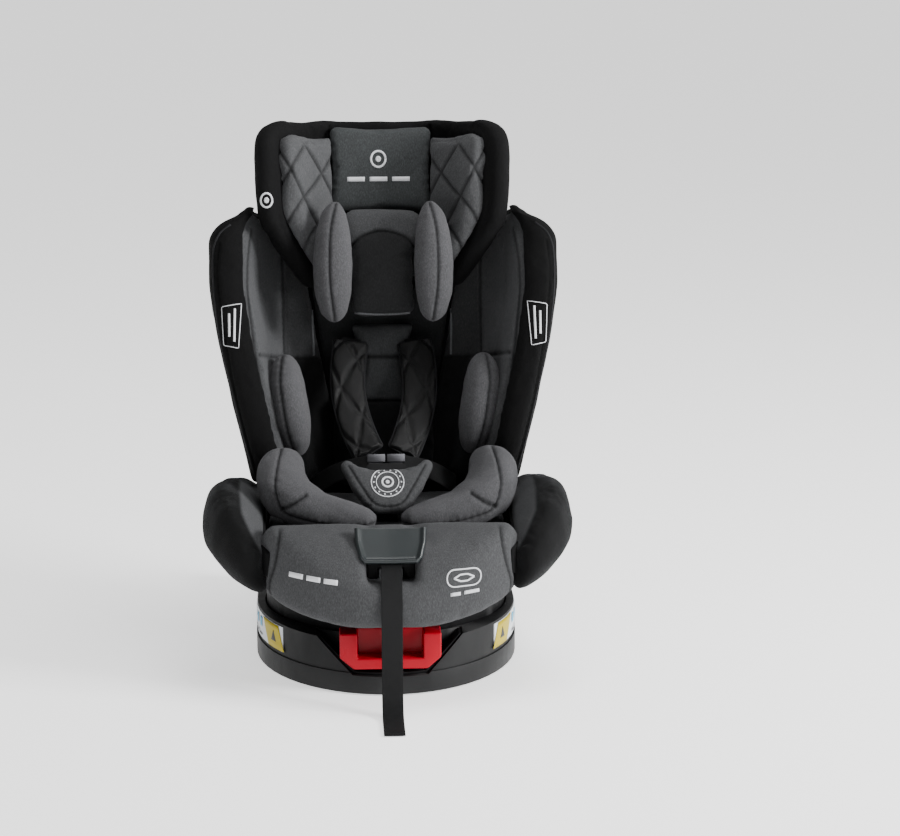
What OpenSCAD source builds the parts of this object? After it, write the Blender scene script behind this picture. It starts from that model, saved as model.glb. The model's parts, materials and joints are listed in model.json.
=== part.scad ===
// Convertible car seat on a turning base: seat faces -Y, turning axis on Z, floor at z = 0.

/* [Base] */
// Half width of the base shell
base_half_w = 161; // [156:1:170]
// Reach of the rounded nose in front of the turning axis
base_front = 189; // [184:1:200]
// Distance from the turning axis to the rear wall
base_rear = 175; // [170:1:185]
// Height of the base rim above the floor
base_rim_z = 66; // [64:1:70]
// Height of the thicker lower skirt
skirt_top_z = 27; // [22:1:30]

/* [Turntable] */
// Radius of the turning drum
drum_r = 148; // [140:1:150]
// Radius of the curved track that the seat slides on
track_r = 376; // [370:1:380]
// Height of the centre of that track
track_z = 480; // [476:1:484]

/* [Isofix] */
// Radius of the jaw that takes the 6 mm anchor bar
jaw_r = 3.1; // [3.05:0.05:3.2]

/* [Seat back] */
// Lean of the back from upright, in degrees
back_lean = 14; // [13:0.5:15]
// Distance from the turning axis to the foot of the back
back_y = 55; // [54:1:56]
// Height of the foot of the back
back_z = 190; // [189:1:191]

/* [Straps] */
// Width of the harness webbing
web_w = 25; // [20:1:26]
// Thickness of the harness webbing
web_t = 1.6; // [1.2:0.1:2]

/* [Hidden] */
$fn = 48;

// small gap between soft pieces that lie against each other
gap = 0.5;
// clearance of sliding fits
fit = 0.4;
// radial clearance of turning fits
turn_fit = 0.06;
// overshoot of cutting tools
cut = 1;
// wall of the moulded shells
wall = 4;
foot_h = 2;
deck_lo = 38;
deck_hi = 44;
well_r = drum_r + 2;
drum_z = 46;
// the curved track's centre lies a little behind the turning axis
track_y = 20;
hub_r = 100;
lock_z = [47, 51.5];
lock_half_w = 6;
handle_half_w = 60;
handle_z = [33, 77];
handle_y = [-187, -158];
// connector head: half width, height range, and where it starts and ends
head_half_w = 14;
head_z = [16, 56];
head_y = [205, 285];
arm_half_w = 12;
arm_z = [17, 36];
arm_y = [52, 205];
// side impact pods: radius, and thickness of the plate behind them
pod_r = 27;
plate_t = 4;
// connectors stand half the standard 280 mm anchor spacing either side of the middle
isofix_x = 140;
jaw_z = 36;
jaw_y = 272;

// heights along the back, outer half width and forward reach of the side wings at each
wing_h = [12, 60, 110, 180, 250, 310, 338, 348];
wing_w = [160, 170, 182, 197, 208, 208, 203, 192];
wing_f = [104, 124, 136, 145, 142, 124, 100, 72];
// the same for the headrest
head_h = [250, 268, 290, 312, 338, 400, 430, 446, 454];
head_w = [96, 110, 126, 140, 150, 153, 151, 143, 128];
head_f = [56, 72, 90, 106, 120, 130, 122, 104, 80];

// distance from a side wing's outer edge to the root of its pad
pad_root = 118;

// where the side impact plates are centred in the frame of the back, and their turn to the rear
pod_at = [182, 18, 232];
pod_turn = 28;
// middle of the buckle's front face, and its tilt from upright
buckle_at = [0, -76, 232];
buckle_tilt = 41;
// middle and tilt of the adjuster's cover
cover_at = [0, -208, 192];
cover_tilt = 38;

// route of the adjuster strap's mid line, as [y, z], from the adjuster to its free end
strap_route = [
  [-209, 180], [-218, 176], [-229, 168], [-239, 154], [-246, 136], [-249, 116], [-250, 95],
  [-251, 74], [-252, 54], [-254, 35], [-258, 19], [-266, 8], [-278, 3], [-292, 2], [-306, 2],
  [-320, 2], [-330, 2]
];

function lerp(a, b, t) = a + (b - a) * t;
function soft_pow(a, e) = sign(a) * pow(abs(a), e);
// a rounded ring: centre c, half axes u and v, squareness e (1 is an ellipse)
function oval(c, u, v, e = 0.8, n = 14) = [
  for (i = [0 : n - 1]) c + u * soft_pow(cos(360 * i / n), e) + v * soft_pow(sin(360 * i / n), e)
];
// a section drawn in X and Y, placed at height h
function at(s, h) = [for (p = s) [p[0], p[1], h]];

// a closed solid through a list of rings with equal point counts
module loft(rings) {
  n = len(rings[0]);
  m = len(rings);
  polyhedron(
    points = [for (r = rings) each r],
    faces = concat(
      [[for (i = [0 : n - 1]) i]],
      [for (k = [0 : m - 2], i = [0 : n - 1]) [k * n + i, (k + 1) * n + i, (k + 1) * n + (i + 1) % n]],
      [for (k = [0 : m - 2], i = [0 : n - 1]) [k * n + i, (k + 1) * n + (i + 1) % n, k * n + (i + 1) % n]],
      [[for (i = [n - 1 : -1 : 0]) (m - 1) * n + i]]
    ),
    convexity = 6
  );
}
module left() { mirror([1, 0, 0]) children(); }
// the frame of the leaning back: X across, -Y forward, Z up along the back
module in_back() { translate([0, back_y, back_z]) rotate([-back_lean, 0, 0]) children(); }
// an outline drawn in X and Z, from depth y0 to y1
module plate_y(y0, y1) {
  translate([0, y1, 0]) rotate([90, 0, 0]) linear_extrude(y1 - y0) children();
}
// an outline drawn in Y and Z, from x0 to x1
module plate_x(x0, x1) {
  translate([x0, 0, 0]) rotate([90, 0, 90]) linear_extrude(x1 - x0) children();
}
module box(x, y, z) { translate([x[0], y[0], z[0]]) cube([x[1] - x[0], y[1] - y[0], z[1] - z[0]]); }
module rounded(w, h, r) {
  translate([-w / 2 + r, 0]) square([w - 2 * r, h]);
  translate([-w / 2, r]) square([w, h - 2 * r]);
  for (x = [-w / 2 + r, w / 2 - r], z = [r, h - r]) translate([x, z]) circle(r);
}

// ---- base ----
module base_outline(inset) {
  w = base_half_w - inset;
  f = base_front - inset;
  r = base_rear - inset;
  corner = 34 - inset;
  polygon(concat(
    [for (t = [180 : 6 : 360]) [w * cos(t), f * sin(t)]],
    [for (t = [0 : 10 : 90]) [w - corner + corner * cos(t), r - corner + corner * sin(t)]],
    [for (t = [90 : 10 : 180]) [corner - w + corner * cos(t), r - corner + corner * sin(t)]]
  ));
}
module recess_outline(inset) {
  polygon([
    [-88 + inset, base_rim_z + cut], [-45 + inset, 24 + inset], [45 - inset, 24 + inset],
    [88 - inset, base_rim_z + cut]
  ]);
}
screw_at = [[-60, -118], [60, -118], [-96, 60], [96, 60], [-60, 150], [60, 150]];
module base_shell() {
  color("#3a3b3c") difference() {
    union() {
      difference() {
        union() {
          translate([0, 0, foot_h]) linear_extrude(skirt_top_z - foot_h) base_outline(0);
          translate([0, 0, skirt_top_z - cut]) linear_extrude(base_rim_z - skirt_top_z + cut) base_outline(2);
        }
        translate([0, 0, foot_h - cut]) linear_extrude(deck_lo - foot_h + cut) base_outline(6);
        translate([0, 0, deck_hi]) cylinder(h = base_rim_z, r = well_r);
      }
      for (p = screw_at) translate([p[0], p[1], 5]) cylinder(h = deck_lo - 4, r = 5);
      intersection() {
        translate([0, 0, 10]) linear_extrude(deck_lo - 9) base_outline(3);
        plate_y(-base_front, -148) recess_outline(-wall);
      }
    }
    difference() {
      plate_y(-base_front - cut, -80) recess_outline(0);
      translate([0, 0, 12]) cylinder(h = base_rim_z, r = well_r + wall);
    }
    for (p = screw_at) translate([p[0], p[1], 4]) cylinder(h = 26, r = 1.6);
    for (s = [-1, 1]) translate([s * isofix_x, 0, 0])
      box([-head_half_w - cut, head_half_w + cut], [120, base_rear + cut], [12, 60]);
    box([-lock_half_w - fit, lock_half_w + fit], [-160, -140], [lock_z[0] - fit, lock_z[1] + fit]);
  }
}
module base_bottom_plate() {
  color("#2c2d2e") difference() {
    translate([0, 0, foot_h]) linear_extrude(3) base_outline(6.5);
    for (p = screw_at) translate([p[0], p[1], 0]) cylinder(h = 10, r = 1.7);
  }
}
module base_feet() {
  color("#161616") for (p = [[-110, -80], [110, -80], [-110, 120], [110, 120], [0, -150], [0, 140], [0, 0]])
    translate([p[0], p[1], 0]) cylinder(h = foot_h, r = 14);
}
module base_screws() {
  color("#8d9094") for (p = screw_at) translate([p[0], p[1], 0.4]) {
    cylinder(h = 24, r = 1.5);
    cylinder(h = foot_h - 0.4, r = 4);
  }
}
module bearing_ring() {
  color("#d9dadb") translate([0, 0, deck_hi]) difference() {
    cylinder(h = 1.7, r = 140);
    translate([0, 0, -cut]) cylinder(h = 5, r = 110);
  }
}
module hub_ring() {
  color("#77797c") translate([0, 0, deck_hi]) difference() {
    union() {
      cylinder(h = 12, r = hub_r - turn_fit);
      translate([0, 0, 8.4]) cylinder(h = 3.6, r = hub_r + 8);
    }
    translate([0, 0, -cut]) cylinder(h = 20, r = hub_r - 14);
  }
}
module side_labels() {
  color("#e3e5e6") intersection() {
    difference() {
      translate([0, 0, 32]) linear_extrude(31) base_outline(1);
      translate([0, 0, 30]) linear_extrude(40) base_outline(2);
    }
    for (s = [-1, 1]) translate([s * 150, 0, 0]) box([-32, 32], [-112, 136], [0, 100]);
  }
}
module handle_bezel() {
  color("#111111") difference() {
    intersection() {
      plate_y(-base_front, -80) recess_outline(fit);
      linear_extrude(base_rim_z - 1) base_outline(6);
    }
    plate_y(-base_front - cut, -60) recess_outline(3.4);
    cylinder(h = 100, r = well_r + wall + fit);
  }
}
module isofix_guides() {
  color("#8d9094") for (s = [-1, 1]) translate([s * isofix_x, 0, 0]) difference() {
    box([-arm_half_w - 3, arm_half_w + 3], [24, 118], [arm_z[0] - 4, deck_lo]);
    box([-arm_half_w - fit, arm_half_w + fit], [20, 120], [arm_z[0] - fit, arm_z[1] + fit]);
  }
}

// ---- release handle in the nose ----
module release_handle() {
  color("#c0102e") difference() {
    plate_y(handle_y[0], handle_y[1]) polygon([
      [-handle_half_w, handle_z[1]], [-handle_half_w, handle_z[0] + 14],
      [-handle_half_w + 16, handle_z[0]], [handle_half_w - 16, handle_z[0]],
      [handle_half_w, handle_z[0] + 14], [handle_half_w, handle_z[1]]
    ]);
    for (s = [-1, 1]) translate([s * 24, 0, 0]) box([-15, 15], [handle_y[0] - cut, -163], [46, 100]);
  }
}
module lock_bolt() {
  color("#8d9094") box([-lock_half_w, lock_half_w], [handle_y[1], -140], lock_z);
}

// ---- connectors ----
module isofix_arm_right() {
  color("#6f7378") translate([isofix_x, 0, 0]) box([-arm_half_w, arm_half_w], arm_y, arm_z);
}
module isofix_arm_left() { left() isofix_arm_right(); }
module isofix_head_right() {
  color("#5d6064") translate([isofix_x, 0, 0]) difference() {
    plate_x(-head_half_w, head_half_w) polygon([
      [head_y[0], head_z[0]], [head_y[1] - 8, head_z[0]], [head_y[1], head_z[0] + 8],
      [head_y[1], 48], [head_y[1] - 8, head_z[1]], [head_y[0], head_z[1]]
    ]);
    translate([-50, jaw_y, jaw_z]) rotate([0, 90, 0]) cylinder(h = 100, r = jaw_r);
    box([-50, 50], [jaw_y, 300], [jaw_z - jaw_r, jaw_z + jaw_r]);
    box([-6, 6], [220, 242], [46, 60]);
  }
}
module isofix_head_left() { left() isofix_head_right(); }
module isofix_button_right() {
  color("#1f8f4d") translate([isofix_x, 0, 0]) box([-5.6, 5.6], [220.4, 241.6], [50, 58.5]);
}
module isofix_button_left() { left() isofix_button_right(); }

// ---- turntable and curved track ----
module track(r) { translate([-200, track_y, track_z]) rotate([0, 90, 0]) cylinder(h = 400, r = r, $fn = 96); }
module turntable() {
  color("#121212") difference() {
    translate([0, 0, drum_z]) cylinder(h = 110, r = drum_r);
    track(track_r);
    translate([0, 0, drum_z - cut]) cylinder(h = 20, r = hub_r);
    difference() {
      translate([0, 0, drum_z + 5.7]) cylinder(h = 110, r = drum_r - 7);
      track(track_r + 6);
    }
    for (t = [0 : 30 : 330]) rotate([0, 0, t])
      box([-lock_half_w - 0.6, lock_half_w + 0.6], [-drum_r - cut, -134], [drum_z - cut, 52.2]);
  }
}
module recline_rails() {
  color("#8d9094") for (s = [-1, 1]) intersection() {
    difference() {
      track(track_r);
      track(track_r - 7);
    }
    cylinder(h = 200, r = drum_r - 12);
    translate([s * 74, 0, 0]) box([-4, 4], [-200, 200], [0, 200]);
  }
}

// ---- seat shell ----
module seat_plan(inset) {
  w = 148 - inset;
  polygon(concat(
    [for (t = [200 : 10 : 340]) [w * cos(t) / cos(20), -118 - (52 - inset) * (-sin(t) - sin(20)) / (1 - sin(20))]],
    [[w, 60], [w - 24, 128 - inset], [-w + 24, 128 - inset], [-w, 60]]
  ));
}
module seat_pan() {
  color("#17181a") difference() {
    intersection() {
      translate([0, 0, 90]) linear_extrude(82) seat_plan(8);
      track(track_r - 1);
    }
    difference() {
      translate([0, 0, 90]) linear_extrude(100) seat_plan(14);
      difference() {
        track(track_r + 60);
        track(track_r - 14);
      }
    }
    for (s = [-1, 1]) translate([s * 74, 0, 0]) difference() {
      box([-4.6, 4.6], [-230, 230], [60, 160]);
      track(track_r - 7.6);
    }
  }
}
module cushion_front() {
  polygon(concat(
    [[-124, 214], [-142, 190], [-151, 172]],
    [for (t = [180 : 10 : 360]) [151 * cos(t), 155 + 58 * sin(t)]],
    [[151, 172], [142, 190], [124, 214]]
  ));
}
module cushion_side() {
  polygon([
    [62, 184], [-90, 184], [-142, 188], [-168, 200], [-180, 205], [-194, 203], [-212, 190], [-228, 168],
    [-239, 140], [-241, 112], [-236, 99], [-224, 95], [-190, 97], [-179, 108], [-176, 173], [62, 173]
  ]);
}
module cushion_plan() {
  polygon(concat(
    [for (t = [190 : 8 : 350]) [152 * cos(t) / cos(10), -150 - 92 * (-sin(t) - sin(10)) / (1 - sin(10))]],
    [[140, 62], [-140, 62]]
  ));
}
module seat_cushion() {
  color("#4b4e52") difference() {
    intersection() {
      plate_x(-160, 160) cushion_side();
      plate_y(-260, 70) cushion_front();
      translate([0, 0, 80]) linear_extrude(140) cushion_plan();
    }
    box([-29, 29], [-240, -186], [148, 199]);
    box([-14, 14], [-92, -80], [160, 200]);
  }
}
// section of a seat side wing at depth y: an ear that leans outward
function ear(y, w, lo, hi) = [
  [146, y, lo + 6], [152, y, lo], [lerp(152, w, 0.55), y, lerp(lo, hi, 0.16)],
  [w - 2, y, lerp(lo, hi, 0.42)], [w, y, lerp(lo, hi, 0.62)], [w - 6, y, lerp(lo, hi, 0.86)],
  [w - 18, y, hi], [lerp(154, w, 0.42), y, lerp(lo, hi, 0.93)], [154, y, lerp(lo, hi, 0.7)],
  [152.6, y, lerp(lo, hi, 0.4)]
];
module seat_wing_right() {
  color("#1b1c1e") loft([
    for (s = [[56, 176, 150, 206], [20, 192, 136, 224], [-30, 208, 124, 240], [-80, 217, 118, 248],
      [-120, 216, 116, 246], [-154, 206, 116, 232], [-178, 188, 119, 210], [-190, 170, 124, 186]])
    ear(s[0], s[1], s[2], s[3])
  ]);
}
module seat_wing_left() { left() seat_wing_right(); }

// ---- seat back ----
module back_shell() {
  color("#17181a") in_back() difference() {
    plate_y(16, 34) polygon([
      [-90, -60], [90, -60], [90, 12], [100, 60], [112, 110], [127, 180], [138, 250], [138, 310],
      [132, 338], [112, 345], [-112, 345], [-132, 338], [-138, 310], [-138, 250], [-127, 180],
      [-112, 110], [-100, 60], [-90, 12]
    ]);
    box([-46, 46], [10, 27], [40, 360]);
    for (s = [-1, 1]) translate([s * 86, 0, 0]) box([-26, 26], [22, 40], [190, 320]);
  }
}
module back_pad() {
  edge = [for (i = [0 : len(wing_h) - 2]) [wing_w[i] - pad_root - gap, wing_h[i]]];
  color("#26282a") in_back() plate_y(0.5, 14)
    polygon(concat(edge, [for (i = [len(edge) - 1 : -1 : 0]) [-edge[i][0], edge[i][1]]]));
}
// section of the padded inner face of a side wing
function pad_section(w, f) = [
  [w - pad_root, 0], [w - 76, -8], [w - 50, -0.42 * f], [w - 36, -f + 16], [w - 23, -f + 15],
  [w - 36, -0.42 * f + 5], [w - 64, 6], [w - pad_root, 14]
];
// section of the outer side wing, wrapped round the pad's front edge
function wing_section(w, f) = [
  [w - 69, 46], [w - 69, 22], [w - 62, 9], [w - 34, -0.42 * f + 5], [w - 22, -f + 15], [w - 22, -f + 14],
  [w - 36, -f + 15], [w - 38, -f + 10], [w - 30, -f], [w - 14, -f - 5], [w - 3, -f + 6], [w, -f + 26],
  [w - 4, -0.5 * f], [w - 18, 0], [w - 34, 32], [w - 48, 46]
];
module back_wing_right() {
  color("#141517") in_back() loft([
    for (i = [0 : len(wing_h) - 1]) at(wing_section(wing_w[i], wing_f[i]), wing_h[i])
  ]);
}
module back_wing_left() { left() back_wing_right(); }
module wing_pad_right() {
  color("#3c3f43") in_back() loft([
    for (i = [0 : len(wing_h) - 2]) at(pad_section(wing_w[i], wing_f[i]), wing_h[i])
  ]);
}
module wing_pad_left() { left() wing_pad_right(); }

// ---- belt guides and side impact pods ----
module belt_guide_right() {
  color("#c0102e") translate([0, 84, 180]) difference() {
    box([108, 172], [-11, 11], [0, 9]);
    box([120, 164], [-4, 4], [-cut, 20]);
  }
}
module belt_guide_left() { left() belt_guide_right(); }
// the pods stand on the outer flank of the wings, facing out and a little back
module on_flank() { in_back() translate(pod_at) rotate([0, 0, pod_turn]) rotate([0, 90, 0]) children(); }
module sip_plate_right() {
  color("#b9bcc0") on_flank() {
    linear_extrude(plate_t) rotate([0, 0, 90]) translate([0, -66]) rounded(46, 150, 20);
    cylinder(h = 14, r = pod_r - 8);
  }
}
module sip_plate_left() { left() sip_plate_right(); }
module sip_pod_right() {
  color("#c6c9cc") on_flank() translate([0, 0, plate_t + 5]) difference() {
    intersection() {
      translate([0, 0, -15]) sphere(r = pod_r + 10);
      cylinder(h = 40, r = pod_r);
    }
    translate([0, 0, -cut]) cylinder(h = 12, r = pod_r - 8 + fit);
  }
}
module sip_pod_left() { left() sip_pod_right(); }

// ---- newborn insert ----
module insert_back_pad() {
  color("#1f2123") in_back() plate_y(-22, -4) polygon([
    [-56, 6], [56, 6], [62, 60], [62, 108], [34, 128], [28, 150], [36, 206], [-36, 206], [-28, 150],
    [-34, 128], [-62, 108], [-62, 60]
  ]);
}
// a bolster along the back: centre line [x, y, h] and half sizes at each station
module bolster(stations) {
  loft([for (s = stations) oval([s[0], s[1], s[2]], [s[3], 0, 0], [0, s[4], 0])]);
}
module torso_bolster_right() {
  color("#56595e") in_back() bolster([
    [100, -72, 62, 5, 9], [103, -76, 72, 13, 22], [106, -80, 92, 17, 29], [110, -83, 112, 18, 31],
    [113, -85, 132, 17, 29], [114, -84, 150, 13, 23], [114, -82, 160, 5, 10]
  ]);
}
module torso_bolster_left() { left() torso_bolster_right(); }
// hip bolster: from beside the hip, forward and round the front of the thigh
module hip_bolster_right() {
  color("#4e5156") loft([
    for (s = [[122, -62, 250, 8, 6, 10], [125, -68, 248, 14, 23, 24], [127, -84, 243, 22, 29, 29],
      [122, -101, 233, 36, 28, 27], [105, -117, 222, 54, 24, 21], [80, -128, 214, 70, 20, 17],
      [50, -135, 211, 80, 18, 15], [26, -139, 210, 85, 12, 10], [18, -140, 210, 86, 4, 4]])
    oval([s[0], s[1], s[2]], [s[4] * cos(s[3]), -s[4] * sin(s[3]), 0], [0, 0, s[5]])
  ]);
}
module hip_bolster_left() { left() hip_bolster_right(); }

// ---- buckle ----
module on_buckle() { translate(buckle_at) rotate([-buckle_tilt, 0, 0]) children(); }
module buckle_body() {
  color("#151515") on_buckle() difference() {
    plate_y(0, 20) translate([0, -24]) rounded(52, 50, 10);
    box([-11, 11], [-cut, 7], [-9, 9]);
    for (s = [-1, 1]) translate([s * 12, 0, 0]) box([-9, 9], [8, 12], [14, 30]);
  }
}
module buckle_button() { color("#b01222") on_buckle() box([-10.6, 10.6], [-1.5, 2.4], [-8.6, 8.6]); }
module buckle_tongues() {
  color("#a5a8ab") on_buckle() for (s = [-1, 1]) translate([s * 12, 0, 0]) {
    box([-8, 8], [8.8, 11.2], [14.6, 32]);
    box([-11, 11], [7, 13], [31.5, 42]);
  }
}
module crotch_pad() {
  color("#43464a") on_buckle() plate_y(-16, -4.5) polygon([
    [-54, 24], [-50, 30], [-34, 22], [-14, 18], [14, 18], [34, 22], [50, 30], [54, 24], [40, -6],
    [26, -26], [16, -34], [-16, -34], [-26, -26], [-40, -6]
  ]);
}
module crotch_strap() {
  color("#1a1a1a") loft([
    for (s = [[-86, 168, 0], [-86, 186, 0], [-88, 194, 10], [-92.5, 207, 30], [-95, 211, 41]])
    oval([0, s[0], s[1]], [12, 0, 0], [0, cos(s[2]), sin(s[2])], 0.4)
  ]);
}

// ---- harness ----
// centre line of the right shoulder strap, in the frame of the back: [x, y, h, tilt]
harness = [
  [39, -25, 186, 40], [40, -29, 174, 24], [42, -40, 150, 20], [42, -54, 118, 24],
  [37, -70, 88, 30], [28, -86, 60, 34], [20, -98, 44, 38]
];
module ribbon(points, half_w, half_t, e = 0.3, n = 10) {
  loft([
    for (p = points) oval([p[0], p[1], p[2]], [half_w, 0, 0],
      [0, half_t * cos(p[3]), half_t * sin(p[3])], e, n)
  ]);
}
module shoulder_web(grow) {
  ribbon([for (i = [len(harness) - 1 : -1 : 0]) harness[i]], web_w / 2 - 1 + grow, web_t / 2 + grow);
}
module shoulder_straps() {
  color("#151515") in_back() for (s = [0, 1]) mirror([s, 0, 0]) shoulder_web(0);
}
module shoulder_pad_right() {
  color("#0d0d0e") in_back() difference() {
    ribbon([
      [20, -97, 45, 38], [28, -86, 60, 34], [37, -70, 88, 30], [42, -54, 118, 24], [42, -40, 150, 20],
      [40, -33, 168, 20]
    ], 20, 6, 0.6, 12);
    shoulder_web(0.4);
  }
}
module shoulder_pad_left() { left() shoulder_pad_right(); }
module lap_straps() {
  color("#151515") for (s = [0, 1]) mirror([s, 0, 0]) loft([
    for (p = [[25, -47, 247], [44, -36, 238], [60, -18, 228], [73, 2, 216], [81, 18, 205]])
    oval([p[0], p[1], p[2]], [-0.64, 0.3, -0.77] * 0.8, [0.3, 10.8, 3], 0.4, 10)
  ]);
}

// ---- harness adjuster ----
module adjuster_housing() {
  color("#101010") difference() {
    box([-28, 28], [-212, -187], [149, 188]);
    box([-web_w / 2 - 1, web_w / 2 + 1], [-240, -196], [170, 186]);
    box([-15, 15], [-240, -194], [150, 164]);
  }
}
module adjuster_button() { color("#8f9296") box([-14, 14], [-213, -201], [151, 163]); }
module adjuster_cover() {
  color("#33403f") translate(cover_at) rotate([-cover_tilt, 0, 0]) plate_y(-9, -4) polygon([
    [-42, 18], [42, 18], [41, 0], [36, -22], [28, -27], [-28, -27], [-36, -22], [-41, 0]
  ]);
}
// turns one point of the strap's route into a ring of the webbing
function strap_dir(i) = let (
  a = strap_route[max(i - 1, 0)], b = strap_route[min(i + 1, len(strap_route) - 1)], d = b - a
) d / norm(d);
module adjuster_strap() {
  color("#141414") loft([
    for (i = [0 : len(strap_route) - 1]) let (p = strap_route[i], d = strap_dir(i))
    oval([0, p[0], p[1]], [-web_w / 2, 0, 0], [0, -d[1], d[0]] * web_t / 2, 0.3, 10)
  ]);
}

// ---- headrest ----
// right half of a C shaped section open to the front: half width w, forward reach f
function c_half(w, f) = [
  [w - 87, -20], [w - 48, -0.42 * f - 8], [w - 27, -f + 18], [w - 24, -f + 4], [w - 8, -f],
  [w, -f + 12], [w - 3, -0.75 * f], [w - 24, -0.3 * f - 8], [w - 66, -6]
];
function c_section(w, f) = let (right = c_half(w, f), n = len(right))
  concat(right, [for (i = [n - 1 : -1 : 0]) [-right[i][0], right[i][1]]]);
module headrest_shell() {
  color("#141517") in_back() {
    loft([for (i = [0 : len(head_h) - 1]) at(c_section(head_w[i], head_f[i]), head_h[i])]);
    box([-28, 28], [-19, -6], [206, 252]);
    box([-40, 40], [-7, 30], [352, 430]);
    box([-44, 44], [17, 26], [120, 353]);
  }
}
module headrest_lever() {
  color("#2a2b2d") in_back() box([-30, 30], [8, 16], [432, 450]);
}
module headrest_pad() {
  color("#33363a") in_back() plate_y(-33, -21) translate([0, 350]) rounded(108, 90, 8);
}
module headrest_wing_right() {
  color("#3a3d41") in_back() loft([
    for (i = [1 : len(head_h) - 2]) let (w = head_w[i], f = head_f[i]) at([
      [max(w - 88, 30), -38], [w - 61, -0.42 * f - 19], [w - 41, -f + 11], [w - 30, -f + 15],
      [w - 50, -0.42 * f - 11.5], [max(w - 86, 32), -27]
    ], head_h[i])
  ]);
}
module headrest_wing_left() { left() headrest_wing_right(); }
module head_pillow() {
  color("#35383c") in_back() bolster([
    [0, -50, 216, 30, 4], [0, -51, 222, 38, 10], [0, -52, 270, 42, 11], [0, -53, 312, 40, 12],
    [0, -53, 338, 38, 9], [0, -53, 346, 30, 3]
  ]);
}
module pillow_cushions() {
  color("#56595e") in_back() for (s = [0, 1]) mirror([s, 0, 0]) bolster([
    [60, -86, 209, 4, 4], [61, -88, 218, 13, 12], [62, -92, 240, 19, 19], [62, -96, 276, 21, 23],
    [61, -98, 312, 18, 21], [60, -97, 336, 12, 14], [58, -95, 348, 4, 4]
  ]);
}

base_shell();
base_bottom_plate();
base_feet();
base_screws();
bearing_ring();
hub_ring();
side_labels();
handle_bezel();
isofix_guides();
release_handle();
lock_bolt();
isofix_arm_left();
isofix_arm_right();
isofix_head_left();
isofix_head_right();
isofix_button_left();
isofix_button_right();
turntable();
recline_rails();
seat_pan();
back_shell();
seat_cushion();
seat_wing_left();
seat_wing_right();
back_pad();
back_wing_left();
back_wing_right();
wing_pad_left();
wing_pad_right();
belt_guide_left();
belt_guide_right();
sip_plate_left();
sip_plate_right();
sip_pod_left();
sip_pod_right();
insert_back_pad();
torso_bolster_left();
torso_bolster_right();
hip_bolster_left();
hip_bolster_right();
crotch_pad();
crotch_strap();
buckle_body();
buckle_button();
buckle_tongues();
shoulder_straps();
shoulder_pad_left();
shoulder_pad_right();
lap_straps();
adjuster_housing();
adjuster_button();
adjuster_cover();
adjuster_strap();
headrest_shell();
headrest_pad();
headrest_wing_left();
headrest_wing_right();
head_pillow();
pillow_cushions();
headrest_lever();
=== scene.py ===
"""Convertible car seat on a turning base: fabrics, straps, mouldings, lights and camera.

Lengths in the outlines are millimetres; every mesh is made in metres in the frame of the CAD model.
"""
import json
import math

import bmesh
import bpy
import numpy as np
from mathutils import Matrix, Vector
from mathutils.bvhtree import BVHTree


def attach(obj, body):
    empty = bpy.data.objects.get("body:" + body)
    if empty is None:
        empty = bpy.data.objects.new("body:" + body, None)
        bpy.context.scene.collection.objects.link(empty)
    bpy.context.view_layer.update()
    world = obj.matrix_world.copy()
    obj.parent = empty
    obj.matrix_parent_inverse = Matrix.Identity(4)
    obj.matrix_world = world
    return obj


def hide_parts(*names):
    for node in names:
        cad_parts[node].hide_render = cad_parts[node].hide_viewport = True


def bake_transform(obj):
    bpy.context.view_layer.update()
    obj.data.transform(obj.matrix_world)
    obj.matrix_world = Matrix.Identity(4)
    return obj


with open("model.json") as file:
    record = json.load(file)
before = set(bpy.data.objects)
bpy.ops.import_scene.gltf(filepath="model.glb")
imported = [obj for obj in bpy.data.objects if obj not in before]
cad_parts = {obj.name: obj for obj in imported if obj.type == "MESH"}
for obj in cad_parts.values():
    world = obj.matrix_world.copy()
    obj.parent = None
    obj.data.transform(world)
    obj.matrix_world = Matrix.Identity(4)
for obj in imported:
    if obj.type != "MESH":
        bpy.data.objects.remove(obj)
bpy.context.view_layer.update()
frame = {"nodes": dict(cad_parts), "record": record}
MM = 0.001  # metres


# ---------------------------------------------------------------- frames of the parts
def joint(name):
    return next(j for j in frame["record"]["behaviour"]["joints"] if j["name"] == name)


up_back = np.array(joint("headrest_height")["axis"])
press = np.array(joint("buckle_press")["axis"])


class Place:
    """A tilted frame: origin in mm and the direction of its local Z; X stays across the seat."""

    def __init__(self, origin, up):
        self.o = np.array(origin, float)
        z = np.array(up, float) / np.linalg.norm(up)
        x = np.array([1.0, 0.0, 0.0])
        self.m = np.array([x, np.cross(z, x), z]).T

    def __call__(self, pts):
        """Points in mm in this frame, as points in metres in the row frame."""
        return (np.asarray(pts, float) @ self.m.T + self.o) * MM

    def inverse(self, pts):
        return (np.asarray(pts, float) / MM - self.o) @ self.m

    def normal(self, vecs):
        return np.asarray(vecs, float) @ self.m


BACK = Place((0, 55, 190), up_back)
BUCKLE = Place((0, -76, 232), (0, -press[2], press[1]))
SEAT = Place((0, 0, 0), (0, 0, 1))


# ---------------------------------------------------------------- objects
def add_object(name, data):
    obj = bpy.data.objects.new(name, data)
    bpy.context.collection.objects.link(obj)
    return obj


def from_bmesh(name, bm, me=None, smooth=True):
    """A new object from an edit mesh, which is then freed."""
    me = me or bpy.data.meshes.new(name)
    bm.to_mesh(me)
    bm.free()
    if smooth:
        me.polygons.foreach_set("use_smooth", [True] * len(me.polygons))
    return add_object(name, me)


# ---------------------------------------------------------------- camera
IMAGE_FOCAL = 104.3
CAMERA_FROM = (-3.1, 13.0)  # azimuth and elevation in degrees
CAMERA_REACH = 3.2
AIM = (0.080, 0.0, 0.294)


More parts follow.
